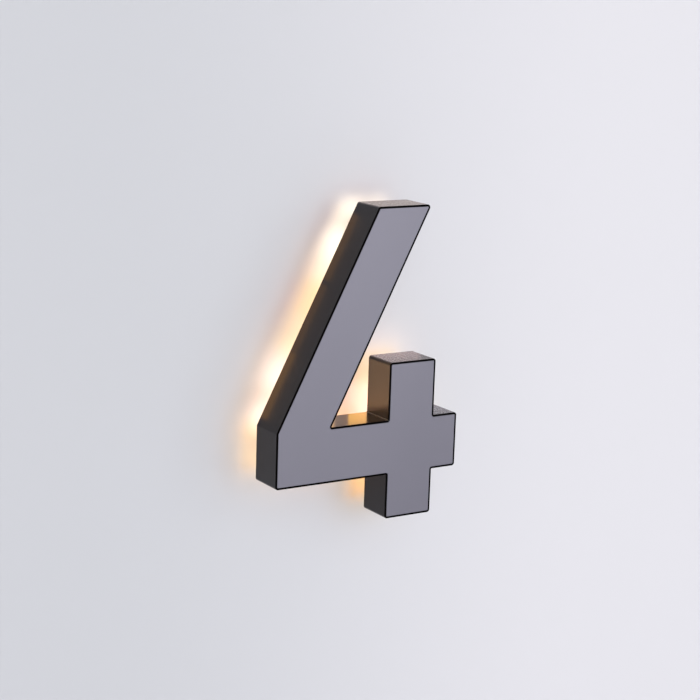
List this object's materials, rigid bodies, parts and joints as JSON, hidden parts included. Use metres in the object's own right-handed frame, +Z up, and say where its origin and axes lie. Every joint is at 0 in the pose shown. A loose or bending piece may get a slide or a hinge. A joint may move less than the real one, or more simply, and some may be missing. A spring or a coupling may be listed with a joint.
{
  "type": "illuminated house number sign",
  "caption": "Halo-lit metal house number on wall spacers: satin face in a black return band, clear back panel and warm LED modules that light the wall behind it.",
  "frame": {"origin": "in the wall plane, on the axis of the wall stud near the top of the arm", "axes": "+Y into the wall along the studs, +Z up, +X to the right as a viewer in front sees it"},
  "size_m": [0.133, 0.073, 0.2],
  "materials": {
    "face_satin": "smooth satin grey",
    "band_black": "semi-gloss black",
    "weld_black": "dressed weld, painted black",
    "panel_clear": "clear polycarbonate",
    "lug_steel": "bent stainless sheet",
    "screw_steel": "stainless",
    "column_steel": "turned stainless",
    "stud_steel": "threaded stainless",
    "sleeve_aluminium": "turned, natural",
    "seal_rubber": "matt black",
    "grommet_rubber": "matt black",
    "module_white": "moulded white",
    "lens_clear": "clear, lit warm white",
    "board_white": "white solder mask",
    "chip_yellow": "phosphor, lit warm white",
    "tape_foam": "grey foam tape",
    "lead_red": "red insulation",
    "lead_black": "black insulation",
    "block_natural": "natural polyamide",
    "clamp_zinc": "zinc plated",
    "clip_natural": "natural nylon"
  },
  "bodies": {
    "root": {"back_panel": "panel_clear", "band_seam_weld": "weld_black", "cable_grommet": "grommet_rubber", "clamp_screws": "clamp_zinc", "face_plate": "face_satin", "junction_block": "block_natural", "lead_clip_1": "clip_natural", "lead_clip_2": "clip_natural", "led_boards": "board_white", "led_chips": "chip_yellow", "led_housing_1": "module_white", "led_housing_2": "module_white", "led_housing_3": "module_white", "led_housing_4": "module_white", "led_housing_5": "module_white", "led_housing_6": "module_white", "led_housing_7": "module_white", "led_housing_8": "module_white", "led_lens_1": "lens_clear", "led_lens_2": "lens_clear", "led_lens_3": "lens_clear", "led_lens_4": "lens_clear", "led_lens_5": "lens_clear", "led_lens_6": "lens_clear", "led_lens_7": "lens_clear", "led_lens_8": "lens_clear", "lug_arm_left": "lug_steel", "lug_arm_right": "lug_steel", "lug_arm_top": "lug_steel", "lug_bar_end": "lug_steel", "lug_bar_floor": "lug_steel", "lug_stem_foot": "lug_steel", "lug_stem_top": "lug_steel", "lug_stub_end": "lug_steel", "module_tapes": "tape_foam", "negative_leads": "lead_black", "panel_screws": "screw_steel", "panel_seal_arm": "seal_rubber", "panel_seal_bar": "seal_rubber", "panel_seal_stub": "seal_rubber", "positive_leads": "lead_red", "return_band": "band_black", "spacer_sleeve_arm": "sleeve_aluminium", "spacer_sleeve_bar": "sleeve_aluminium", "spacer_sleeve_stub": "sleeve_aluminium", "stud_column_arm": "column_steel", "stud_column_bar": "column_steel", "stud_column_stub": "column_steel", "wall_pad_arm": "seal_rubber", "wall_pad_bar": "seal_rubber", "wall_pad_stub": "seal_rubber", "wall_stud_arm": "stud_steel", "wall_stud_bar": "stud_steel", "wall_stud_stub": "stud_steel"}
  },
  "joints": []
}
